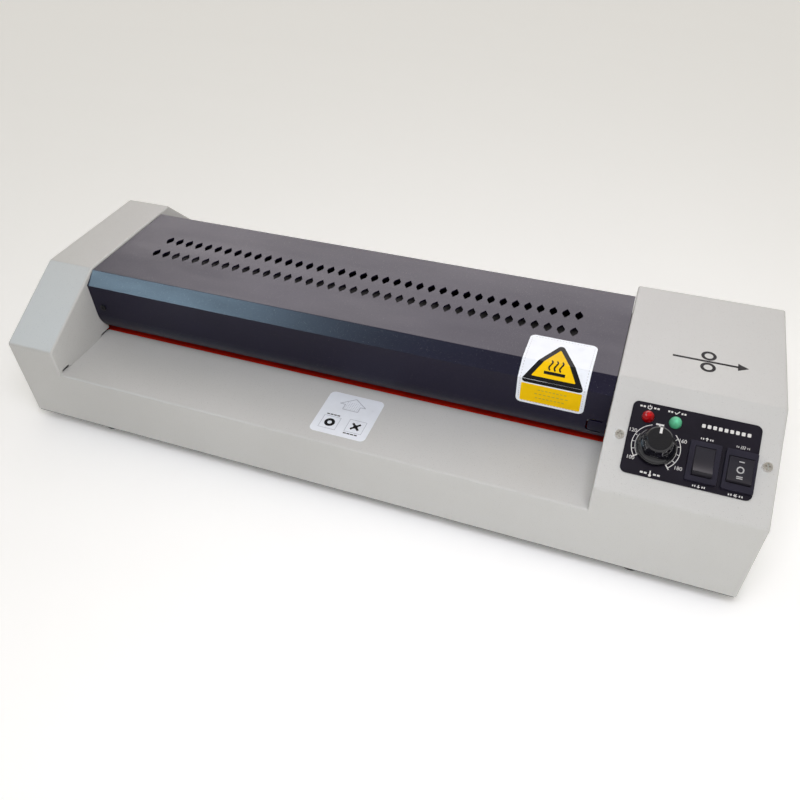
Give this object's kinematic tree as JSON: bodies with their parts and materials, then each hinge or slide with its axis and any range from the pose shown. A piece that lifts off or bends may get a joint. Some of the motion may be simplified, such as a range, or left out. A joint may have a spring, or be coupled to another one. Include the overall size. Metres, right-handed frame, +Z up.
{
  "type": "pouch laminator",
  "caption": "Pouch laminator with sheet-metal end housings, feed table, vented dark cover over heated roller pairs, dial and rocker switches on a sloping panel.",
  "frame": {"origin": "on the bench, under the centre of the bounding box", "axes": "+X to the operator's right, +Y to the rear (the exit side), +Z up"},
  "size_m": [0.445, 0.18, 0.0922],
  "materials": {
    "casing_paint": "light grey powder coat, fine texture",
    "cover_paint": "charcoal semi-gloss coat",
    "pan_steel": "black coated steel",
    "foot_rubber": "matt",
    "zinc_screw": "zinc plated",
    "dark_screw": "blackened",
    "nickel_screw": "nickel plated",
    "zinc_plate": "zinc plated sheet",
    "bright_steel": "ground",
    "guide_red": "heat-resistant red film",
    "bronze": "sintered",
    "nylon_gear": "moulded",
    "motor_can": "zinc plated can",
    "shoe_aluminium": "extruded",
    "element_sheath": "heat-tinted",
    "panel_black": "satin printed overlay",
    "knob_black": "polished",
    "switch_black": "moulded",
    "rocker_black": "moulded",
    "contact_brass": "tinned",
    "led_red": "clear tinted",
    "led_green": "clear tinted",
    "board_green": "solder mask",
    "inlet_black": "moulded",
    "capacitor_film": "dipped",
    "terminal_white": "moulded",
    "wire_red": "silicone insulation",
    "roller_silicone": "silicone, ground",
    "label_white": "printed film"
  },
  "bodies": {
    "frame": {"casing": "casing_paint", "rear_panel": "casing_paint", "base_pan": "pan_steel", "feet": "foot_rubber", "foot_screws": "zinc_screw", "base_screws": "zinc_screw", "rear_screws": "zinc_screw", "top_cover": "cover_paint", "cover_screws": "dark_screw", "heat_shield": "pan_steel", "entry_guide": "guide_red", "exit_guide": "guide_red", "left_side_plate": "zinc_plate", "right_side_plate": "zinc_plate", "tie_rods": "bright_steel", "roller_bushes": "bronze", "pressure_springs": "bright_steel", "idler_pin": "bright_steel", "gear_motor": "motor_can", "motor_bracket": "zinc_plate", "upper_heater_shoe": "shoe_aluminium", "lower_heater_shoe": "shoe_aluminium", "heating_elements": "element_sheath", "thermal_cutout": "bright_steel", "control_panel": "panel_black", "panel_screws": "nickel_screw", "potentiometer": "zinc_plate", "direction_switch": "switch_black", "mode_switch": "switch_black", "switch_terminals": "contact_brass", "power_led": "led_red", "ready_led": "led_green", "led_leads": "bright_steel", "control_board": "board_green", "inlet": "inlet_black", "inlet_pins": "contact_brass", "motor_capacitor": "capacitor_film", "terminal_block": "terminal_white", "wiring": "wire_red", "table_label": "label_white", "warning_label": "label_white"},
    "temperature_dial": {"temperature_knob": "knob_black", "knob_shaft": "bright_steel"},
    "direction_rocker": {"direction_rocker": "rocker_black"},
    "mode_rocker": {"mode_rocker": "rocker_black"},
    "idler": {"idler_gear": "nylon_gear"},
    "motor_drive": {"motor_pinion": "nylon_gear", "motor_shaft": "bright_steel"},
    "front_lower_roller": {"front_lower_sleeve": "roller_silicone", "front_lower_shaft": "bright_steel", "front_lower_gear": "nylon_gear"},
    "front_upper_roller": {"front_upper_sleeve": "roller_silicone", "front_upper_shaft": "bright_steel", "front_upper_gear": "nylon_gear"},
    "rear_lower_roller": {"rear_lower_sleeve": "roller_silicone", "rear_lower_shaft": "bright_steel", "rear_lower_gear": "nylon_gear"},
    "rear_upper_roller": {"rear_upper_sleeve": "roller_silicone", "rear_upper_shaft": "bright_steel", "rear_upper_gear": "nylon_gear"}
  },
  "joints": [
    {"name": "temperature_dial", "type": "hinge", "parent": "frame", "child": "temperature_dial", "pos_m": [0.166, -0.06591, 0.07595], "axis": [0, -0.4762, 0.8793], "range_deg": [-135, 135]},
    {"name": "direction_rocker", "type": "hinge", "parent": "frame", "child": "direction_rocker", "pos_m": [0.1885, -0.06876, 0.07554], "axis": [1, 0, 0], "range_deg": [0, 22]},
    {"name": "mode_rocker", "type": "hinge", "parent": "frame", "child": "mode_rocker", "pos_m": [0.2051, -0.06893, 0.07545], "axis": [1, 0, 0], "range_deg": [-11, 11]},
    {"name": "front_lower_spin", "type": "hinge", "parent": "frame", "child": "front_lower_roller", "pos_m": [0, -0.01585, 0.03545], "axis": [1, 0, 0], "continuous": true},
    {"name": "front_upper_spin", "type": "hinge", "parent": "frame", "child": "front_upper_roller", "pos_m": [0, -0.01585, 0.05975], "axis": [1, 0, 0], "continuous": true},
    {"name": "rear_lower_spin", "type": "hinge", "parent": "frame", "child": "rear_lower_roller", "pos_m": [0, 0.02065, 0.03545], "axis": [1, 0, 0], "continuous": true},
    {"name": "rear_upper_spin", "type": "hinge", "parent": "frame", "child": "rear_upper_roller", "pos_m": [0, 0.02065, 0.05975], "axis": [1, 0, 0], "continuous": true},
    {"name": "idler_spin", "type": "hinge", "parent": "frame", "child": "idler", "pos_m": [0, 0.0024, 0.03545], "axis": [1, 0, 0], "continuous": true},
    {"name": "motor_spin", "type": "hinge", "parent": "frame", "child": "motor_drive", "pos_m": [0, 0.0389, 0.03545], "axis": [1, 0, 0], "continuous": true}
  ],
  "couplings": [
    {"joint": "front_upper_spin", "follows": "front_lower_spin", "ratio": -1},
    {"joint": "rear_lower_spin", "follows": "front_lower_spin", "ratio": 1},
    {"joint": "rear_upper_spin", "follows": "front_lower_spin", "ratio": -1},
    {"joint": "idler_spin", "follows": "front_lower_spin", "ratio": -2},
    {"joint": "motor_spin", "follows": "front_lower_spin", "ratio": -2}
  ]
}
